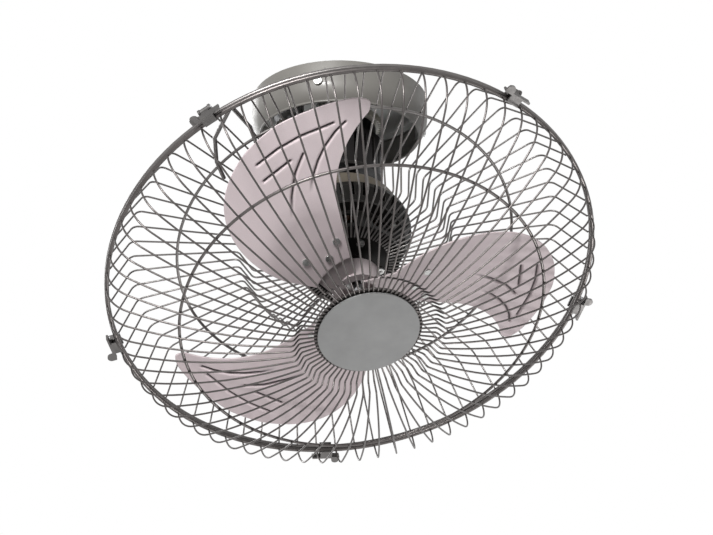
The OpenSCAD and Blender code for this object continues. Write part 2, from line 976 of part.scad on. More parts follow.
module tilt_wing_nut() {
    color([0.60, 0.60, 0.60])
    translate([fork_out + bolt_gap, 0, -pivot_drop])
        difference() {
            union() {
                rotate([0, 90, 0])
                    cylinder(h = 6, r = bolt_head_r);
                translate([1.5, -wing_span, -1.25])
                    cube([4.5, 2 * wing_span, 2.5]);
            }
            translate([-eps, 0, 0])
                rotate([0, 90, 0])
                    cylinder(h = 6 + 2 * eps, r = bolt_r + fit);
        }
}

// ---- motor ----

// directions of the tie bolts
tie_az = spread(4, 45);

module motor_rear_cover() {
    inner_r = cover_r - cover_sheet;
    inner_back = cover_back + cover_sheet;
    color([0.30, 0.29, 0.25])
    head()
        difference() {
            union() {
                rotate_extrude()
                    difference() {
                        union() {
                            translate([0, cover_back])
                                square([cover_r - cover_round, -cover_back + shell_back]);
                            translate([0, cover_back + cover_round])
                                square([cover_r, -cover_back + shell_back - cover_round]);
                            translate([cover_r - cover_round, cover_back + cover_round])
                                circle(r = cover_round);
                        }
                        translate([0, inner_back])
                            square([inner_r - cover_round, eps - inner_back + shell_back]);
                        translate([0, inner_back + cover_round])
                            square([inner_r, eps - inner_back + shell_back - cover_round]);
                        translate([inner_r - cover_round, inner_back + cover_round])
                            circle(r = cover_round);
                        translate([-2 * cover_r, cover_back])
                            square([2 * cover_r, -cover_back]);
                    }
                disc(bush_r + boss_wall, inner_back, rear_bush_back + bush_len);
                around(tie_pcr, tie_az)
                    disc(tie_post_r, inner_back, core_back);
                bracket_spots()
                    disc(bracket_screw_r + 2, inner_back, inner_back + 4);
            }
            disc(bush_r, rear_bush_back, rear_bush_back + bush_len + eps);
            around(tie_pcr, tie_az)
                disc(tie_r + fit, inner_back + 2, core_back + eps);
            bracket_spots()
                disc(bracket_screw_r + fit, cover_back - eps, inner_back + 4 + eps);
        }
}

module motor_shell() {
    color([0.08, 0.08, 0.08])
    head()
        difference() {
            rotate_extrude()
                polygon([
                    [cover_r - cover_sheet, shell_back],
                    [shell_r - 2, shell_back],
                    [shell_r, shell_back + 2],
                    [shell_r, shell_back + 7],
                    [shell_front_r, bell_back],
                    [shell_mouth_r, bell_back],
                    [shell_r - shell_sheet, shell_back + 6],
                    [shell_r - shell_sheet, shell_back + 3],
                    [cover_r - cover_sheet, shell_back + 2]
                ]);
            around(0, spread(shell_slots, 0))
                translate([shell_front_r + 1, -1.5, shell_back + 3])
                    cube([shell_r - shell_front_r, 3, bell_back - shell_back - 7]);
        }
}

module motor_front_bell() {
    window_low = bell_back + bell_flange + 4;
    window_high = bell_front - bell_wall - 3;
    color([0.10, 0.10, 0.10])
    head()
        difference() {
            union() {
                tube(bell_r, bell_r - bell_wall, bell_back, bell_front - bell_wall);
                tube(bell_flange_r, bell_r - bell_wall, bell_back, bell_back + bell_flange);
                disc(bell_r, bell_front - bell_wall, bell_front);
                disc(bush_r + boss_wall, front_bush_front - bush_len, bell_front - bell_wall);
                around(rear_screw_pcr, spread(4, 0))
                    disc(rear_screw_r + 2, bell_front - bell_wall - 5, bell_front - bell_wall);
                around(tie_pcr, tie_az)
                    disc(bell_post_r, core_front, bell_back + eps);
            }
            around(0, spread(bell_pillars, 0))
                window(window_low, window_high);
            disc(bush_r, front_bush_front - bush_len - eps, front_bush_front);
            disc(shaft_r + 0.5, front_bush_front - eps, bell_front + eps);
            around(rear_screw_pcr, spread(4, 0))
                disc(rear_screw_r + fit, bell_front - bell_wall - 5 - eps, bell_front + eps);
            around(tie_pcr, tie_az)
                disc(tie_r + fit, core_front - eps, bell_back + bell_flange + eps);
        }
}

// one cooling window through the bell wall
module window(low, high) {
    rotate([0, 0, -bell_window / 2])
        translate([0, 0, low])
            rotate_extrude(angle = bell_window)
                translate([bell_r - 2 * bell_wall, 0])
                    square([4 * bell_wall, high - low]);
}

module stator_core() {
    color([0.45, 0.45, 0.47])
    head()
        translate([0, 0, core_back])
            linear_extrude(height = stack_len)
                difference() {
                    intersection() {
                        circle(r = core_corner_r);
                        square(2 * core_half, center = true);
                    }
                    circle(r = core_bore_r);
                    difference() {
                        circle(r = slot_out_r);
                        circle(r = slot_in_r);
                        for (a = spread(core_teeth, 0)) {
                            rotate(a)
                                translate([0, -core_tooth_w / 2])
                                    square([slot_out_r + 1, core_tooth_w]);
                        }
                    }
                    for (a = spread(core_teeth, 180 / core_teeth)) {
                        rotate(a)
                            translate([core_bore_r - 1, -slot_mouth / 2])
                                square([slot_in_r - core_bore_r + 3, slot_mouth]);
                    }
                    for (a = tie_az) {
                        rotate(a)
                            translate([tie_pcr, 0])
                                circle(r = tie_r + fit);
                    }
                }
}

// rectangle with round corners, centred
module round_rect(w, h, r) {
    square([w - 2 * r, h], center = true);
    square([w, h - 2 * r], center = true);
    for (x = [-1, 1]) {
        for (y = [-1, 1]) {
            translate([x * (w / 2 - r), y * (h / 2 - r)])
                circle(r = r);
        }
    }
}

module windings() {
    inner_w = core_tooth_w + 0.6;
    inner_h = stack_len + 0.8;
    color([0.72, 0.40, 0.20])
    head()
        around(coil_in_r, spread(core_teeth, 0))
            translate([0, 0, core_mid])
                rotate([90, 0, 90])
                    linear_extrude(height = coil_out_r - coil_in_r)
                        difference() {
                            round_rect(inner_w + 2 * coil_bar,
                                inner_h + 2 * (coil_over - 0.4), coil_corner);
                            square([inner_w, inner_h], center = true);
                        }
}

module rear_bearing() {
    color([0.75, 0.56, 0.30])
    head()
        tube(bush_r - 0.02, shaft_r + 0.04, rear_bush_back, rear_bush_back + bush_len);
}

module front_bearing() {
    color([0.75, 0.56, 0.30])
    head()
        tube(bush_r - 0.02, shaft_r + 0.04, front_bush_front - bush_len, front_bush_front);
}

module tie_bolts() {
    color([0.78, 0.78, 0.76])
    head()
        around(tie_pcr, tie_az)
            translate([0, 0, bell_back + bell_flange])
                rotate([180, 0, 0])
                    pan_screw(tie_r, bell_back + bell_flange - cover_back - 6,
                        tie_head_r, 2.4);
}

// ---- rear guard ----

module rear_guard_plate() {
    color([0.62, 0.62, 0.60])
    head()
        difference() {
            tube(rear_plate_r, rear_plate_bore_r, rear_plate_back, rear_plate_front);
            around(rear_screw_pcr, spread(4, 0))
                disc(rear_screw_r + fit, rear_plate_back - eps, rear_plate_front + eps);
        }
}

module rear_guard_screws() {
    color([0.80, 0.80, 0.80])
    head()
        around(rear_screw_pcr, spread(4, 0))
            translate([0, 0, rear_plate_front])
                rotate([180, 0, 0])
                    pan_screw(rear_screw_r, plate_sheet + bell_wall + 4,
                        rear_screw_head_r, rear_screw_head_h);
}

// directions of the guard wires, clear of the clips
wire_az = spread(wire_count, wire_pitch / 2);

module rear_guard_wires() {
    color([0.55, 0.55, 0.53])
    head()
        around(0, wire_az)
            wire(rear_path, wire_r);
}

module rear_rim_ring() {
    color([0.35, 0.35, 0.34])
    head()
        rod_ring(rim_r, -ring_s, rim_rod_r);
}

module rear_support_ring() {
    color([0.50, 0.50, 0.48])
    head()
        rod_ring(rear_support_r, rear_support_s, support_rod_r);
}

// point of a brace path in the fan's frame
function brace_point(p) =
    let (a = brace_clip * clip_step + p[1])
    [p[0] * cos(a), p[0] * sin(a), p[2]];

module guard_brace() {
    color([0.50, 0.50, 0.48])
    head()
        for (path = brace_paths) {
            for (i = [0 : len(path) - 2]) {
                a = brace_point(path[i]);
                v = brace_point(path[i + 1]) - a;
                translate(a)
                    rotate([0, acos(v[2] / norm(v)), atan2(v[1], v[0])])
                        cylinder(h = norm(v), r = brace_rod_r, $fn = 32);
            }
            for (i = [1 : len(path) - 2]) {
                translate(brace_point(path[i]))
                    sphere(r = brace_rod_r + bend_swell, $fn = 32);
            }
        }
}

// ---- front guard ----

module front_guard_wires() {
    color([0.62, 0.62, 0.60])
    head()
        around(0, wire_az)
            wire(front_path, wire_r);
}

module front_rim_ring() {
    color([0.62, 0.62, 0.60])
    head()
        rod_ring(rim_r, ring_s, rim_rod_r);
}

module front_support_ring() {
    c = bend_centre(front_path, 3);
    under = front_path[3][2] - wire_r - support_rod_r + weld;
    s = c[1] + sqrt(under * under - (front_support_r - c[0]) * (front_support_r - c[0]));
    color([0.55, 0.55, 0.53])
    head()
        rod_ring(front_support_r, s, support_rod_r);
}

module front_centre_plate() {
    color([0.60, 0.60, 0.58])
    head()
        tube(front_plate_r, cap_screw_r + fit, front_plate_s - plate_sheet, front_plate_s);
}

module centre_cap() {
    color([0.63, 0.63, 0.63])
    head()
        difference() {
            union() {
                disc(cap_r, cap_back, cap_back + cap_sheet);
                disc(cap_boss_r, front_plate_s, cap_back);
            }
            disc(cap_screw_r + fit, front_plate_s - eps, cap_back + 0.4);
        }
}

module cap_screw() {
    color([0.80, 0.80, 0.80])
    head()
        translate([0, 0, front_plate_s - plate_sheet])
            pan_screw(cap_screw_r, plate_sheet + cap_back - front_plate_s,
                cap_screw_head_r, cap_screw_head_h);
}

// ---- rim clips ----

// places children at clip i
module at_clip(i) {
    head()
        rotate([0, 0, i * clip_step])
            children();
}

module clip_brackets() {
    plate_low = clip_lip_top - 1.6;
    color([0.30, 0.30, 0.30])
    for (i = [0 : clip_count - 1]) {
        at_clip(i)
            difference() {
                union() {
                    translate([clip_plate_in, -clip_w / 2, plate_low])
                        cube([clip_sheet, clip_w, -plate_low]);
                    translate([clip_lip_in, -clip_w / 2, plate_low])
                        cube([clip_plate_in + clip_sheet - clip_lip_in, clip_w,
                            clip_lip_top - plate_low]);
                    for (y = [-clip_w / 2, clip_w / 2 - ear_w]) {
                        translate([clip_plate_in + eps, y, pin_s - 3])
                            cube([pin_x - clip_plate_in - eps, ear_w, 6]);
                        translate([pin_x, y, pin_s])
                            rotate([-90, 0, 0])
                                cylinder(h = ear_w, r = 3);
                    }
                }
                translate([pin_x, -clip_w, pin_s])
                    rotate([-90, 0, 0])
                        cylinder(h = 2 * clip_w, r = pin_r + 0.02);
            }
    }
}

module clip_pins() {
    color([0.75, 0.75, 0.75])
    for (i = [0 : clip_count - 1]) {
        at_clip(i)
            translate([pin_x, -clip_w / 2 - 0.4, pin_s])
                rotate([-90, 0, 0])
                    cylinder(h = clip_w + 0.8, r = pin_r);
    }
}

module latch(i) {
    wide_low = pin_s + 3 + latch_gap;
    outer = pin_x - 0.8;
    color([0.25, 0.25, 0.25])
    at_clip(i)
        difference() {
            union() {
                translate([pin_x, -latch_w / 2, pin_s])
                    rotate([-90, 0, 0])
                        cylinder(h = latch_w, r = latch_knuckle_r);
                translate([outer, -latch_w / 2, pin_s])
                    cube([latch_sheet, latch_w, latch_under + latch_sheet - pin_s]);
                translate([outer, -latch_len / 2, wide_low])
                    cube([latch_sheet, latch_len, latch_under + latch_sheet - wide_low]);
                translate([latch_hook_in, -clip_w / 2, latch_under])
                    cube([outer + eps - latch_hook_in, clip_w, latch_sheet]);
                translate([outer, latch_len / 2 - latch_tab_w, latch_under])
                    cube([latch_tab - latch_tab_w / 2, latch_tab_w, latch_sheet]);
                translate([outer + latch_tab - latch_tab_w / 2,
                        latch_len / 2 - latch_tab_w / 2, latch_under])
                    cylinder(h = latch_sheet, r = latch_tab_w / 2);
            }
            translate([pin_x, -latch_w, pin_s])
                rotate([-90, 0, 0])
                    cylinder(h = 2 * latch_w, r = pin_r + fit);
        }
}

module latch_1() {
    latch(0);
}

module latch_2() {
    latch(1);
}

module latch_3() {
    latch(2);
}

module latch_4() {
    latch(3);
}

module latch_5() {
    latch(4);
}

// ---- rotor ----

module motor_shaft() {
    color([0.72, 0.73, 0.75])
    head() {
        disc(shaft_r, rear_bush_back + 0.5, hub_floor);
        disc(collar_r, rear_bush_back + bush_len + 0.5, rear_bush_back + bush_len + 2);
        disc(collar_r, front_bush_front - bush_len - 2, front_bush_front - bush_len - 0.5);
        disc(shaft_r + 2, hub_back - 4, hub_back);
        disc(stud_r, hub_floor, stud_end);
    }
}

module rotor_core() {
    color([0.55, 0.55, 0.57])
    head()
        difference() {
            union() {
                disc(rotor_r, core_back, core_front);
                disc(end_ring_r, core_back - end_ring_len, core_front + end_ring_len);
            }
            disc(shaft_r + 0.02, core_back - end_ring_len - eps, core_front + end_ring_len + eps);
            for (a = spread(6, 0)) {
                rotate([0, 0, a])
                    translate([(rotor_r + shaft_r) / 2, 0, 0])
                        disc(2.5, core_back - end_ring_len - eps,
                            core_front + end_ring_len + eps);
            }
        }
}

// places children on blade k, X along its centreline
module at_blade(k) {
    head()
        rotate([0, 0, blade_turn + 120 * k])
            children();
}

// places children in the flat root plane of a blade
module root_plane() {
    translate([0, 0, blade_s])
        rotate([blade_slope, 0, 0])
            children();
}

module arm_outline() {
    hub_a = arm_side[0];
    hub_b = arm_side[1];
    p = rivet_spots[0];
    q = rivet_spots[2];
    polygon([
        hub_a,
        left_of(p, hub_a, p, arm_end_r),
        left_of(p, p, q, arm_end_r),
        left_of(q, p, q, arm_end_r),
        left_of(q, q, hub_b, arm_end_r),
        hub_b
    ]);
    for (c = [p, q]) {
        translate(c)
            circle(r = arm_end_r + arm_swell);
    }
}

module blade_hub() {
    arm_top = -blade_sheet / 2 * cos(blade_slope) - 0.02;
    color([0.55, 0.50, 0.50])
    head()
        difference() {
            union() {
                disc(hub_cup_r, hub_back, hub_top);
                for (k = [0 : 2]) {
                    rotate([0, 0, blade_turn + 120 * k])
                        root_plane()
                            translate([0, 0, arm_top - arm_sheet])
                                linear_extrude(height = arm_sheet)
                                    arm_outline();
                }
            }
            disc(hub_bore_r, hub_floor, hub_top + 4 * arm_sheet);
            disc(shaft_r + 0.02, hub_back - eps, hub_floor + eps);
            for (k = [0 : 2]) {
                rotate([0, 0, blade_turn + 120 * k])
                    root_plane()
                        for (c = rivet_spots) {
                            translate([c[0], c[1], -4 * arm_sheet])
                                cylinder(h = 8 * arm_sheet, r = rivet_r + fit);
                        }
            }
        }
}

// blade outline angles
function lead_deg(r) =
    -blade_lead_deg - (r > blade_sweep_from
        ? blade_sweep_deg * pow((r - blade_sweep_from) / blade_sweep_span, 1.8) : 0);
function trail_deg(r) =
    let (t = max(0, (r - blade_taper_from) / blade_taper_span))
    blade_trail_deg - blade_taper_deg * pow(t, 1.4) - blade_round_deg * pow(t, 8);
// radius at grid place u along the blade and v across it
function grid_r(u, v) =
    blade_root_r + (blade_r - blade_root_r
        - blade_tip_drop * pow(max(0, 1 - v / 0.35), 2.2)
        - blade_corner * pow(max(0, 1 - v / 0.1), 2)
        - blade_corner * pow(max(0, (v - 0.88) / 0.12), 2)) * u;
function grid_deg(u, v) =
    let (r = grid_r(u, v))
    lead_deg(r) + (trail_deg(r) - lead_deg(r)) * v;
// height of the blade middle surface: flat at the root, curled further out
function blade_height(r, a) =
    let (k = min(1, max(0, (r - blade_flat_to) / blade_curl_span)))
    let (y = r * sin(a))
    blade_s + blade_pitch * (y + k * (r * a * PI / 180 - y))
        - blade_droop * max(0, r - blade_flat_to);
function grid_point(u, v, side) =
    let (r = grid_r(u, v), a = grid_deg(u, v))
    [r * cos(a), r * sin(a), blade_height(r, a) + side * blade_sheet / 2];

module blade_sheet_body() {
    n = len(blade_cols);
    m = blade_rows + 1;
    back = n * m;
    points = [
        for (side = [1, -1])
            for (i = [0 : m - 1])
                for (j = [0 : n - 1])
                    grid_point(i / blade_rows, blade_cols[j], side)
    ];
    front_faces = [
        for (i = [0 : m - 2])
            for (j = [0 : n - 2])
                for (half = [0, 1])
                    let (p = i * n + j)
                    half == 0 ? [p, p + 1, p + n + 1] : [p, p + n + 1, p + n]
    ];
    back_faces = [for (f = front_faces) [f[2] + back, f[1] + back, f[0] + back]];
    rim = concat(
        [for (j = [0 : n - 1]) j],
        [for (i = [1 : m - 1]) i * n + n - 1],
        [for (j = [1 : n - 1]) (m - 1) * n + n - 1 - j],
        [for (i = [1 : m - 2]) (m - 1 - i) * n]
    );
    count = len(rim);
    rim_faces = [
        for (i = [0 : count - 1])
            for (half = [0, 1])
                let (p = rim[i], q = rim[(i + 1) % count])
                half == 0 ? [q, p, p + back] : [q, p + back, q + back]
    ];
    polyhedron(points = points, faces = concat(front_faces, back_faces, rim_faces));
}

// centre of a bead at one point of its path
function bead_point(p) = [
    p[0] * cos(p[1]), p[0] * sin(p[1]),
    blade_height(p[0], p[1]) + blade_sheet / 2 + bead_rise - bead_r
];

module blade_beads() {
    for (path = bead_paths) {
        for (i = [0 : len(path) - 2]) {
            a = bead_point(path[i]);
            v = bead_point(path[i + 1]) - a;
            translate(a)
                rotate([0, acos(v[2] / norm(v)), atan2(v[1], v[0])])
                    cylinder(h = norm(v), r = bead_r, $fn = 24);
        }
        for (p = path) {
            translate(bead_point(p))
                sphere(r = bead_r + bead_swell, $fn = 24);
        }
    }
}

module blade(k) {
    color([0.80, 0.74, 0.74])
    at_blade(k)
        difference() {
            union() {
                blade_sheet_body();
                blade_beads();
            }
            root_plane()
                for (c = rivet_spots) {
                    translate([c[0], c[1], -2 * blade_sheet])
                        cylinder(h = 4 * blade_sheet, r = rivet_r + fit, $fn = 24);
                }
        }
}

module blade_1() {
    blade(0);
}

module blade_2() {
    blade(1);
}

module blade_3() {
    blade(2);
}

module blade_rivets() {
    front = blade_sheet / 2 * cos(blade_slope);
    back = -front - 0.02 - arm_sheet;
    color([0.78, 0.76, 0.75])
    for (k = [0 : 2]) {
        at_blade(k)
            root_plane()
                for (c = rivet_spots) {
                    translate([c[0], c[1], 0]) {
                        disc(rivet_r, back, front);
                        disc(rivet_head_r, front, front + rivet_head_h);
                        disc(rivet_head_r, back - rivet_head_h, back);
                    }
                }
    }
}

module hub_washer() {
    color([0.78, 0.78, 0.76])
    head()
        tube(washer_r, stud_r + fit, hub_floor, hub_floor + washer_h);
}

module hub_nut() {
    low = hub_floor + washer_h;
    color([0.15, 0.15, 0.15])
    head()
        difference() {
            translate([0, 0, low])
                hexagon(nut_flat, nut_h);
            disc(stud_r + fit, low - eps, low + nut_h + eps);
        }
}

ceiling_plate();
canopy();
canopy_screws();
terminal_block();
orbit_motor();
orbit_motor_screws();
spindle();
spindle_bolts();
slip_rings();
thrust_washer();
spindle_nut();
drive_pinion();
orbit_gear();
gear_screws();
neck_housing();
neck_screws();
swivel_hub();
upper_bearing();
lower_bearing();
brush_holder();
tilt_bracket();
bracket_screws();
tilt_bolt();
tilt_wing_nut();
motor_rear_cover();
motor_shell();
motor_front_bell();
stator_core();
windings();
rear_bearing();
front_bearing();
tie_bolts();
rear_guard_plate();
rear_guard_screws();
rear_guard_wires();
rear_rim_ring();
rear_support_ring();
guard_brace();
front_guard_wires();
front_rim_ring();
front_support_ring();
front_centre_plate();
centre_cap();
cap_screw();
clip_brackets();
clip_pins();
latch_1();
latch_2();
latch_3();
latch_4();
latch_5();
motor_shaft();
rotor_core();
blade_hub();
blade_1();
blade_2();
blade_3();
blade_rivets();
hub_washer();
hub_nut();
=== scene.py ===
"""Looks of an orbital ceiling fan: metal finishes, pressed blades with beads, studio light."""

import json
import math

import bmesh
import bpy
from mathutils import Matrix, Vector


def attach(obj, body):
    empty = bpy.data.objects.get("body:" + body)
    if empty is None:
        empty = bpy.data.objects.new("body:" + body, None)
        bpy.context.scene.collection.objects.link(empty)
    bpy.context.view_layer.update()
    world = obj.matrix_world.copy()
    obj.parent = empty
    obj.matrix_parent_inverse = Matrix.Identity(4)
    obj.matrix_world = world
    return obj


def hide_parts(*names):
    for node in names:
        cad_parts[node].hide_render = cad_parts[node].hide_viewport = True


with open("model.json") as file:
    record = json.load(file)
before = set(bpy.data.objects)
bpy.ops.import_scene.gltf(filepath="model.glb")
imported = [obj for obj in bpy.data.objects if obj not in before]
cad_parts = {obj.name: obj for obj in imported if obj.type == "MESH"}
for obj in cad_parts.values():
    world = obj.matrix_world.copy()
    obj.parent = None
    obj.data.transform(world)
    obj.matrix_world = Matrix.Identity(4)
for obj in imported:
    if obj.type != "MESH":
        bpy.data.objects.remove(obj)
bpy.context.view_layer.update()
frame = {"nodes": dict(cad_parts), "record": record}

MM = 0.001
WHITE = (1.0, 1.0, 1.0, 1.0)

# ---------------------------------------------------------------- fan axis
# The head hangs from the tilt pivot. Its own axes: X right, Y up the tilt, Z to the air outlet.
TILT = math.radians(30.0)
PIVOT = Vector((0.0, 0.0, -106.0)) * MM
PIVOT_SIDE = 12.0 * MM
PIVOT_BACK = 104.5 * MM
HEAD = (
    Matrix.Translation(PIVOT)
    @ Matrix.Rotation(math.pi - TILT, 4, "X")
    @ Matrix.Translation((0.0, -PIVOT_SIDE, PIVOT_BACK))
)
HEAD_CENTRE = HEAD @ Vector((0.0, 0.0, 0.0))
OUTLET = HEAD.to_3x3() @ Vector((0.0, 0.0, 1.0))


# ---------------------------------------------------------------- material tools
EVEN = (1.0, 1.0, 1.0)
BRUSHED_GRAIN = (6.0, 6.0, 90.0)      # much finer along Z, so the brushed lines lie level
NOISE_LOW, NOISE_HIGH = 0.3, 0.7      # nearly all of a noise texture lies between these
COAT_ROUGH = 0.15
BEVEL_SAMPLES = 4
WEAR_RADIUS = 0.0006
WEAR_SCALE = 180.0
WEAR_FROM, WEAR_FULL = 0.99, 0.80     # agreement of rounded and true normal at an edge
WEAR_PATCH_LOW, WEAR_PATCH_HIGH = 0.35, 0.65
WEAR_LEAST, WEAR_MOST = 0.2, 0.8
# places of the factor, the two colours and the result on a Mix node set to colour
MIX_FACTOR, MIX_A, MIX_B, MIX_RESULT = 0, 6, 7, 2


def scaled(color, factor):
    return tuple(min(1.0, c * factor) for c in color)


def feed(tree, node, inputs):
    """Links each input that is given an output, and sets the others to their value."""
    for place, value in inputs.items():
        if isinstance(value, bpy.types.NodeSocket):
            tree.links.new(value, node.inputs[place])
        else:
            node.inputs[place].default_value = value


def add_node(tree, kind, inputs, **settings):
    node = tree.nodes.new(kind)
    for key, value in settings.items():
        setattr(node, key, value)
    feed(tree, node, inputs)
    return node


class Finish:
    """A node material built in steps: colour, roughness and bump from procedural textures."""

    def __init__(self, name, color, rough, metal=0.0, coat=0.0, specular=0.5):
        self.mat = bpy.data.materials.new(name)
        self.mat.use_nodes = True
        self.tree = self.mat.node_tree
        self.bsdf = self.tree.nodes["Principled BSDF"]
        self.color_value = color
        self.color = None
        self.normal = None
        self.coords = self.node("ShaderNodeTexCoord", {})
        self.surface({
            "Base Color": (*color, 1.0),
            "Roughness": rough,
            "Metallic": metal,
            "Coat Weight": coat,
            "Coat Roughness": COAT_ROUGH,
            "Specular IOR Level": specular,
        })

    def node(self, kind, inputs, **settings):
        return add_node(self.tree, kind, inputs, **settings)

    def surface(self, inputs):
        feed(self.tree, self.bsdf, inputs)

    def mapped(self, scale, rotate=(0.0, 0.0, 0.0)):
        place = self.coords.outputs["Object"]
        inputs = {"Vector": place, "Scale": scale, "Rotation": rotate}
        return self.node("ShaderNodeMapping", inputs).outputs["Vector"]

    def noise(self, scale, detail=4.0, rough=0.55, stretch=EVEN):
        place = self.mapped(stretch)
        inputs = {"Vector": place, "Scale": scale, "Detail": detail, "Roughness": rough}
        return self.node("ShaderNodeTexNoise", inputs).outputs["Fac"]

    def waves(self, place, scale, distortion, **kind):
        inputs = {"Vector": place, "Scale": scale, "Distortion": distortion}
        return self.node("ShaderNodeTexWave", inputs, **kind).outputs["Fac"]

    def ramp(self, factor, low, high):
        """Colour from `low` to `high`, each given as (place, colour)."""
        r = self.node("ShaderNodeValToRGB", {"Fac": factor})
        for element, (place, color) in zip(r.color_ramp.elements, (low, high)):
            element.position = place
            element.color = (*color, 1.0)
        return r.outputs["Color"]

    def span(self, value, low, high, out_low, out_high):
        """Stretches low..high to out_low..out_high, and holds the ends."""
        inputs = {"Value": value, "From Min": low, "From Max": high,
                  "To Min": out_low, "To Max": out_high}
        return self.node("ShaderNodeMapRange", inputs).outputs["Result"]

    def calculate(self, operation, a, b):
        return self.node("ShaderNodeMath", {0: a, 1: b}, operation=operation).outputs["Value"]

    def dot(self, a, b):
        product = self.node("ShaderNodeVectorMath", {0: a, 1: b}, operation="DOT_PRODUCT")
        return product.outputs["Value"]

    def mix_color(self, factor, linked, color):
        inputs = {MIX_FACTOR: factor, MIX_A: linked, MIX_B: (*color, 1.0)}
        mix = self.node("ShaderNodeMix", inputs, data_type="RGBA", blend_type="MIX")
        return mix.outputs[MIX_RESULT]

    def bevel(self, radius):
        """A normal that turns smoothly over an edge."""
        rounded = self.node("ShaderNodeBevel", {"Radius": radius}, samples=BEVEL_SAMPLES)
        return rounded.outputs["Normal"]

    def mottle(self, scale, amount):
        """Slow patchy change of the base colour."""
        low = (NOISE_LOW, scaled(self.color_value, 1.0 - amount))
        high = (NOISE_HIGH, scaled(self.color_value, 1.0 + amount))
        self.color = self.ramp(self.noise(scale, detail=5.0), low, high)

    def edge_wear(self, color):
        """Lighter rub marks where an edge is sharp."""
        flat = self.node("ShaderNodeNewGeometry", {}).outputs["True Normal"]
        agreement = self.dot(self.bevel(WEAR_RADIUS), flat)
        sharp = self.span(agreement, WEAR_FROM, WEAR_FULL, 0.0, 1.0)
        patch = self.span(self.noise(WEAR_SCALE), WEAR_PATCH_LOW, WEAR_PATCH_HIGH,
                          WEAR_LEAST, WEAR_MOST)
        rubbed = self.calculate("MULTIPLY", sharp, patch)
        self.color = self.mix_color(rubbed, self.color, color)

    def rough_noise(self, low, high, scale, stretch=EVEN):
        noise = self.noise(scale, detail=5.0, rough=0.6, stretch=stretch)
        self.surface({"Roughness": self.span(noise, NOISE_LOW, NOISE_HIGH, low, high)})

    def soft_edges(self, radius):
        """Rounds sharp CAD edges in the shading."""
        self.normal = self.bevel(radius)

    def relief(self, height, distance, strength):
        """Bumps in the shading, on top of the ones that are there."""
        inputs = {"Height": height, "Distance": distance, "Strength": strength}
        if self.normal is not None:
            inputs["Normal"] = self.normal
        self.normal = self.node("ShaderNodeBump", inputs).outputs["Normal"]

    def bump(self, scale, distance, strength, detail, stretch=EVEN):
        grain = self.noise(scale, detail, rough=0.5, stretch=stretch)
        self.relief(grain, distance, strength)

    def done(self):
        self.surface({"Base Color": self.color})
        if self.normal is not None:
            self.surface({"Normal": self.normal})
        return self.mat


# ---------------------------------------------------------------- finishes
def brushed(name, color, rough):
    """Bare metal with a fine brushed grain."""
    f = Finish(name, color, rough, metal=0.9)
    f.mottle(scale=40.0, amount=0.08)
    f.soft_edges(radius=0.0004)
    f.rough_noise(rough - 0.08, rough + 0.12, scale=90.0, stretch=BRUSHED_GRAIN)
    f.bump(scale=220.0, distance=0.0001, strength=0.25, detail=2.0, stretch=BRUSHED_GRAIN)
    return f.done()


def plated(name, color, rough):
    """Dark nickel plating on drawn wire and clips."""
    f = Finish(name, color, rough, metal=1.0)
    f.mottle(scale=60.0, amount=0.12)
    f.rough_noise(rough - 0.06, rough + 0.1, scale=160.0)
    return f.done()


def powder(name, color, rough, metal, edge=None, coat=0.15, specular=0.5):
    """Baked paint with a fine grain, rubbed at its edges where `edge` is given."""
    f = Finish(name, color, rough, metal, coat, specular)
    f.mottle(scale=25.0, amount=0.07)
    if edge is not None:
        f.edge_wear(edge)
    f.soft_edges(radius=0.0005)
    f.rough_noise(rough - 0.06, rough + 0.1, scale=120.0)
    f.bump(scale=900.0, distance=0.00008, strength=0.35, detail=2.0)
    return f.done()


def moulded(name, color, rough, edge=None, specular=0.45):
    """Moulded plastic with a fine grain, rubbed at its edges where `edge` is given."""
    f = Finish(name, color, rough, specular=specular)
    f.mottle(scale=35.0, amount=0.08)
    if edge is not None:
        f.edge_wear(edge)
    f.soft_edges(radius=0.0005)
    f.rough_noise(rough - 0.08, rough + 0.08, scale=80.0)
    f.bump(scale=1400.0, distance=0.00006, strength=0.3, detail=3.0)
    return f.done()


def laminated(name, color):
    """Stacked sheet steel: fine lines across the fan axis."""
    f = Finish(name, color, rough=0.45, metal=0.8)
    place = f.mapped(EVEN, rotate=(TILT, 0.0, 0.0))
    lines = f.waves(place, scale=260.0, distortion=0.3, wave_type="BANDS", bands_direction="Z")
    f.color = f.ramp(lines, (0.2, scaled(color, 0.5)), (0.7, color))
    f.relief(lines, distance=0.0001, strength=0.5)
    return f.done()


def enamelled_wire(name, color):
    """Motor coil: parallel turns of varnished wire."""
    f = Finish(name, color, rough=0.3, metal=0.7, coat=0.6)
    turns = f.waves(f.mapped(EVEN), scale=170.0, distortion=0.6,
                    wave_type="RINGS", rings_direction="SPHERICAL")
    f.color = f.ramp(turns, (0.15, scaled(color, 0.35)), (0.6, color))
    f.relief(turns, distance=0.0003, strength=0.7)
    return f.done()


FLAKE_DARK, FLAKE_BRIGHT = 0.93, 1.05
PATCH_DARK, PATCH_SHARE = 0.86, 0.3
# share of the paint colour left in the painted shade along the bead creases
CREASE_PAINTED_SHADE = 0.1


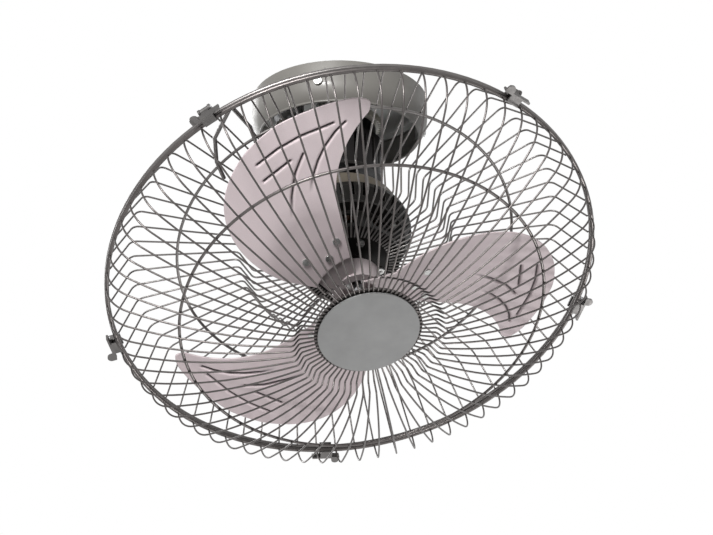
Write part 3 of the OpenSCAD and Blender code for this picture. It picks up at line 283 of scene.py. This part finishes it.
def blade_paint(name, color):
    """Mauve-grey paint with fine flake and slow patches, with painted shade in the bead creases
    of its front.
    """
    f = Finish(name, color, rough=0.46, metal=0.05, specular=0.3)
    flake = f.ramp(f.noise(scale=2600.0, detail=2.0),
                   (0.35, scaled(color, FLAKE_DARK)), (0.65, scaled(color, FLAKE_BRIGHT)))
    slow = f.span(f.noise(scale=14.0), NOISE_LOW, NOISE_HIGH, 0.0, PATCH_SHARE)
    patchy = f.mix_color(slow, flake, scaled(color, PATCH_DARK))
    # painted shade: only the pressed side is darkened along its bead creases, where shade would
    # fall
    crease_shade = f.node("ShaderNodeAttribute", {}, attribute_name="crease_shade").outputs["Fac"]
    front = f.calculate("GREATER_THAN", f.dot(f.coords.outputs["Normal"], OUTLET), 0.0)
    painted_shade = f.calculate("MULTIPLY", crease_shade, front)
    f.color = f.mix_color(painted_shade, patchy, scaled(color, CREASE_PAINTED_SHADE))
    f.rough_noise(0.4, 0.52, scale=50.0)
    f.bump(scale=1500.0, distance=0.00004, strength=0.25, detail=2.0)
    return f.done()


MATERIALS = {
    "zinc_steel": brushed("zinc_steel", (0.40, 0.40, 0.393), rough=0.38),
    "grey_enamel": powder("grey_enamel", (0.15, 0.143, 0.13), rough=0.5, metal=0.05),
    "bright_screw": brushed("bright_screw", (0.48, 0.48, 0.47), rough=0.3),
    "ivory_plastic": moulded("ivory_plastic", (0.78, 0.74, 0.64), rough=0.45),
    "motor_can": brushed("motor_can", (0.50, 0.50, 0.51), rough=0.33),
    "steel": brushed("steel", (0.52, 0.52, 0.53), rough=0.25),
    "brass": brushed("brass", (0.70, 0.50, 0.22), rough=0.28),
    "bronze": brushed("bronze", (0.50, 0.33, 0.17), rough=0.42),
    "acetal": moulded("acetal", (0.80, 0.78, 0.70), rough=0.35),
    "black_plastic": moulded("black_plastic", (0.009, 0.008, 0.008), rough=0.35,
                             edge=(0.07, 0.065, 0.06), specular=0.1),
    "black_metal": powder("black_metal", (0.011, 0.010, 0.009), rough=0.34, metal=0.0,
                          edge=(0.16, 0.15, 0.14), coat=0.0, specular=0.12),
    "brush_carrier": moulded("brush_carrier", (0.16, 0.08, 0.04), rough=0.5),
    "olive_enamel": powder("olive_enamel", (0.095, 0.082, 0.065), rough=0.45, metal=0.0,
                           edge=(0.16, 0.14, 0.115), coat=0.0, specular=0.2),
    "laminations": laminated("laminations", (0.30, 0.30, 0.31)),
    "copper": enamelled_wire("copper", (0.14, 0.055, 0.022)),
    "aluminium_rotor": brushed("aluminium_rotor", (0.60, 0.60, 0.61), rough=0.36),
    "guard_wire": plated("guard_wire", (0.105, 0.096, 0.093), rough=0.36),
    "guard_wire_rear": plated("guard_wire_rear", (0.155, 0.146, 0.142), rough=0.36),
    "cap_grey": moulded("cap_grey", (0.29, 0.29, 0.288), rough=0.6),
    "clip_dark": plated("clip_dark", (0.125, 0.12, 0.117), rough=0.5),
    "blade_mauve": blade_paint("blade_mauve", (0.67, 0.575, 0.59)),
    "hub_mauve": powder("hub_mauve", (0.42, 0.365, 0.37), rough=0.4, metal=0.5,
                        edge=(0.62, 0.58, 0.58)),
    "dark_nut": brushed("dark_nut", (0.05, 0.05, 0.05), rough=0.35),
}

SLOT_OF = {s["node"]: s["material_slot"] for s in frame["record"]["subparts"]}
SLOT_OF["rear_guard_plate"] = "black_metal"  # blackened, unlike the wires it holds
for node_name, obj in frame["nodes"].items():
    obj.data.materials.clear()
    obj.data.materials.append(MATERIALS[SLOT_OF[node_name]])


# ---------------------------------------------------------------- blades
# Lengths are in mm, angles in degrees from the blade's centreline. `u` runs from 0 at the root
# to 1 at the tip, `v` from 0 at the leading edge to 1 at the trailing edge.
BLADES = 3
BLADE_TURN = 157.0       # place of the first blade round the fan axis
BLADE_R = 196.0
ROOT_R = 43.0
BLADE_S = 27.5           # place of the sheet along the fan axis
PITCH = 0.18             # rise across the blade, per mm
DROOP = 0.028            # fall towards the tip, per mm
FLAT_TO = 75.0           # radius where droop and twist begin
TWIST_BLEND = 40.0       # length over which the flat pitch turns into a helix
SHEET = 1.5

LEAD_ROOT = -39.5
LEAD_BEND, LEAD_BEND_FROM, LEAD_BEND_POWER = 17.5, 95.0, 1.8
TRAIL_ROOT = 17.0
TRAIL_FROM, TRAIL_SPAN = 70.0, 125.0
TRAIL_SWEEP, TRAIL_SWEEP_POWER = 28.0, 1.4
TRAIL_HOOK, TRAIL_HOOK_POWER = 14.0, 8
TIP_DROP, TIP_DROP_TO, TIP_DROP_POWER = 9.0, 0.35, 2.2
CORNER = 6.0
LEAD_CORNER_TO = 0.1
TRAIL_CORNER_FROM, TRAIL_CORNER_SPAN = 0.88, 0.12

BEAD_HALF = 3.0          # half the width of a pressed bead
BEAD_DEPTH = 2.6
FADE_SHARE = 0.3         # share of a bead, at its last end, over which it runs out
# painted shade on the floor of each bead: its half width, the blur of its edge, and how long it
# holds where the bead runs out
CREASE_SHADE_HALF = 1.5        # half the width of the dark floor of a bead
CREASE_SHADE_BLUR = 0.9
CREASE_SHADE_HOLD = 1.3        # the dark floor runs out later than the bead
# pressed beads: points as (radius, angle), and whether the last end runs out
BEADS = [
    ([(173.5, -19.5), (175.4, -26.8), (176.4, -34.1), (177.3, -43.7)], False),
    ([(156.8, -18.1), (157.5, -23.2), (159.4, -28.3)], False),
    ([(175.3, -47.2), (168.5, -43.9), (158.6, -40.1), (147.3, -36.6), (134.8, -33.1),
      (122.0, -30.0)], True),
    ([(159.6, -32.8), (152.6, -30.4), (145.7, -27.8), (127.5, -22.5), (109.4, -16.9)], True),
]

BLADE_ROWS, BLADE_COLS = 280, 200
EDGE_CROWDING = 0.45     # how far the columns are drawn to the two long edges


def clamped(value):
    return max(0.0, min(1.0, value))


def polar(r, a):
    """Place of a radius and an angle in radians."""
    return r * math.cos(a), r * math.sin(a)


def lead_deg(r):
    """Angle of the leading edge at a radius."""
    past = max(0.0, (r - LEAD_BEND_FROM) / LEAD_BEND_FROM)
    return LEAD_ROOT - LEAD_BEND * past ** LEAD_BEND_POWER


def trail_deg(r):
    """Angle of the trailing edge at a radius."""
    t = max(0.0, (r - TRAIL_FROM) / TRAIL_SPAN)
    return TRAIL_ROOT - TRAIL_SWEEP * t ** TRAIL_SWEEP_POWER - TRAIL_HOOK * t ** TRAIL_HOOK_POWER


def blade_height(r, a):
    """Place of the smooth sheet along the fan axis."""
    k = clamped((r - FLAT_TO) / TWIST_BLEND)
    y = r * math.sin(a)
    return BLADE_S + PITCH * (y + k * (r * a - y)) - DROOP * max(0.0, r - FLAT_TO)


def nearest_on(path, x, y):
    """Distance to the middle line of a bead, and the nearest place on it from 0 to 1."""
    best = None
    pieces = len(path) - 1
    for i in range(pieces):
        (ax, ay), (bx, by) = [polar(r, math.radians(a)) for r, a in path[i:i + 2]]
        dx, dy = bx - ax, by - ay
        t = clamped(((x - ax) * dx + (y - ay) * dy) / (dx * dx + dy * dy))
        d = math.hypot(x - ax - t * dx, y - ay - t * dy)
        if best is None or d < best[0]:
            best = (d, (i + t) / pieces)
    return best


def bead_shape(x, y):
    """Depth of the pressed beads at a place, and how much painted shade their floor gets there.
    """
    depth, crease_shade = 0.0, 0.0
    for path, runs_out in BEADS:
        away, along = nearest_on(path, x, y)
        fade = min(1.0, (1.0 - along) / FADE_SHARE) if runs_out else 1.0
        if away < BEAD_HALF:
            hollow = math.cos(away / BEAD_HALF * math.pi / 2) ** 2
            depth = max(depth, fade * BEAD_DEPTH * hollow)
        # painted shade, strongest along the bead's middle line
        floor = clamped((CREASE_SHADE_HALF - away) / CREASE_SHADE_BLUR + 0.5)
        crease_shade = max(crease_shade, min(1.0, fade * CREASE_SHADE_HOLD) * floor)
    return depth, crease_shade


def blade_point(u, v):
    """Point in the middle of the sheet, in the head's axes, with its share of painted crease
    shade.
    """
    tip_cut = TIP_DROP * max(0.0, 1.0 - v / TIP_DROP_TO) ** TIP_DROP_POWER
    lead_cut = CORNER * max(0.0, 1.0 - v / LEAD_CORNER_TO) ** 2
    trail_cut = CORNER * max(0.0, (v - TRAIL_CORNER_FROM) / TRAIL_CORNER_SPAN) ** 2
    r = ROOT_R + (BLADE_R - ROOT_R - tip_cut - lead_cut - trail_cut) * u
    a = math.radians(lead_deg(r) + (trail_deg(r) - lead_deg(r)) * v)
    x, y = polar(r, a)
    depth, crease_shade = bead_shape(x, y)
    return Vector((x, y, blade_height(r, a) - depth)) * MM, crease_shade


def crowded(v):
    """Draws an even share of the blade's width towards its nearer long edge."""
    return v - EDGE_CROWDING * math.sin(2 * math.pi * v) / (2 * math.pi)


def blade_grid():
    """Points of one blade's middle surface, closer together along its two long edges."""
    columns = [crowded(j / BLADE_COLS) for j in range(BLADE_COLS + 1)]
    return [[blade_point(i / BLADE_ROWS, v) for v in columns] for i in range(BLADE_ROWS + 1)]


def grid_mesh(name, place, grid):
    """Smooth sheet through a grid of points, which keeps their painted crease shade as an
    attribute.
    """
    mesh = bpy.data.meshes.new(name)
    bm = bmesh.new()
    rows = [[bm.verts.new(place @ point) for point, crease_shade in row] for row in grid]
    for near, far in zip(rows, rows[1:]):
        for j in range(BLADE_COLS):
            bm.faces.new((near[j], near[j + 1], far[j + 1], far[j]))
    bm.normal_update()
    bm.to_mesh(mesh)
    bm.free()
    # painted shade of the bead creases, read by the blade paint
    layer = mesh.attributes.new("crease_shade", "FLOAT", "POINT")
    layer.data.foreach_set("value", [crease_shade for row in grid for point, crease_shade in row])
    for face in mesh.polygons:
        face.use_smooth = True
    return mesh


def make_blade(index, grid):
    """Pressed sheet blade: a fine grid given thickness."""
    name = f"blade_sheet_{index + 1}"
    turn = Matrix.Rotation(math.radians(BLADE_TURN + 360.0 / BLADES * index), 4, "Z")
    obj = bpy.data.objects.new(name, grid_mesh(name, HEAD @ turn, grid))
    bpy.context.collection.objects.link(obj)
    sheet = obj.modifiers.new("sheet", "SOLIDIFY")
    sheet.thickness = SHEET * MM
    sheet.offset = 0.0
    sheet.use_even_offset = True
    obj.data.materials.append(MATERIALS["blade_mauve"])
    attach(obj, "rotor")
    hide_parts(f"blade_{index + 1}")


BLADE_GRID = blade_grid()
for blade_index in range(BLADES):
    make_blade(blade_index, BLADE_GRID)


# ---------------------------------------------------------------- camera
# recovered from the photograph: lens in pixels, place in metres, climb above the level
FOCAL_PX, FRAME_PX = 1600.0, 713.0
SENSOR = 36.0
CAMERA_PLACE = (-0.47344, -1.35799, -0.74490)
CAMERA_RIGHT = (0.940, -0.340, 0.0)
CAMERA_AHEAD = (0.340, 0.940, 0.0)
CAMERA_CLIMB = math.radians(21.5)


def make_camera():
    """Camera below the fan, looking up at it as in the photograph."""
    data = bpy.data.cameras.new("photo_camera")
    data.sensor_fit = "HORIZONTAL"
    data.sensor_width = SENSOR
    data.lens = SENSOR * FOCAL_PX / FRAME_PX
    data.clip_start = 0.05
    data.clip_end = 30.0
    obj = bpy.data.objects.new("photo_camera", data)
    right = Vector(CAMERA_RIGHT).normalized()
    ahead = Vector(CAMERA_AHEAD).normalized()
    look = ahead * math.cos(CAMERA_CLIMB) + Vector((0.0, 0.0, math.sin(CAMERA_CLIMB)))
    turn = Matrix((right, right.cross(look), -look)).transposed()
    obj.matrix_world = Matrix.Translation(CAMERA_PLACE) @ turn.to_4x4()
    bpy.context.collection.objects.link(obj)
    bpy.context.scene.camera = obj


make_camera()


# ---------------------------------------------------------------- floor, lamps, world
FLOOR_HALF, FLOOR_LEVEL = 14.0, -2.4
FLOOR_GLOW = 0.85
WORLD_SEEN = 1.0
WORLD_LIT = 0.14
# name, place, diameter in metres and power in watts; each lamp points at the fan's head
LAMPS = [
    ("key", (-1.2, -1.55, 0.32), 0.5, 56.0),
    ("low", (1.3, -0.1, -1.85), 0.35, 21.0),
    ("rim", (-0.4, 1.5, 0.4), 0.9, 9.0),
]


def seen_rays(tree):
    """1 for rays from the camera, from mirrors and through glass, else 0."""
    path = tree.nodes.new("ShaderNodeLightPath")
    total = path.outputs["Is Camera Ray"]
    for ray in ("Is Glossy Ray", "Is Transmission Ray"):
        both = {0: total, 1: path.outputs[ray]}
        add = add_node(tree, "ShaderNodeMath", both, operation="ADD", use_clamp=True)
        total = add.outputs["Value"]
    return total


def make_floor():
    """A room floor well below the fan, which glows only where it is seen."""
    mesh = bpy.data.meshes.new("floor")
    bm = bmesh.new()
    corners = [(-1, -1), (1, -1), (1, 1), (-1, 1)]
    bm.faces.new([bm.verts.new((x * FLOOR_HALF, y * FLOOR_HALF, FLOOR_LEVEL))
                  for x, y in corners])
    bm.to_mesh(mesh)
    bm.free()
    obj = bpy.data.objects.new("floor", mesh)
    bpy.context.collection.objects.link(obj)
    f = Finish("floor_paint", (0.8, 0.8, 0.8), rough=0.8)
    f.mottle(scale=2.0, amount=0.03)
    glow = f.calculate("MULTIPLY", seen_rays(f.tree), FLOOR_GLOW)
    f.surface({"Emission Color": WHITE, "Emission Strength": glow})
    mesh.materials.append(f.done())


def make_lamp(name, place, size, power):
    """Round lamp that points at the fan's head."""
    data = bpy.data.lights.new(name, "AREA")
    data.shape = "DISK"
    data.size = size
    data.energy = power
    obj = bpy.data.objects.new(name, data)
    obj.location = place
    aim = HEAD_CENTRE - Vector(place)
    obj.rotation_euler = aim.to_track_quat("-Z", "Y").to_euler()
    bpy.context.collection.objects.link(obj)


def make_world():
    """White where it is seen, also in metal and glass; a weak even light on the rest."""
    world = bpy.data.worlds.new("studio")
    bpy.context.scene.world = world
    world.use_nodes = True
    tree = world.node_tree
    tree.nodes.clear()
    lit, seen = [
        add_node(tree, "ShaderNodeBackground", {"Color": WHITE, "Strength": strength})
        for strength in (WORLD_LIT, WORLD_SEEN)
    ]
    mix = add_node(tree, "ShaderNodeMixShader", {
        "Fac": seen_rays(tree),
        1: lit.outputs["Background"],
        2: seen.outputs["Background"],
    })
    add_node(tree, "ShaderNodeOutputWorld", {"Surface": mix.outputs["Shader"]})


make_floor()
for lamp in LAMPS:
    make_lamp(*lamp)
make_world()
bpy.context.scene.view_settings.view_transform = "Standard"
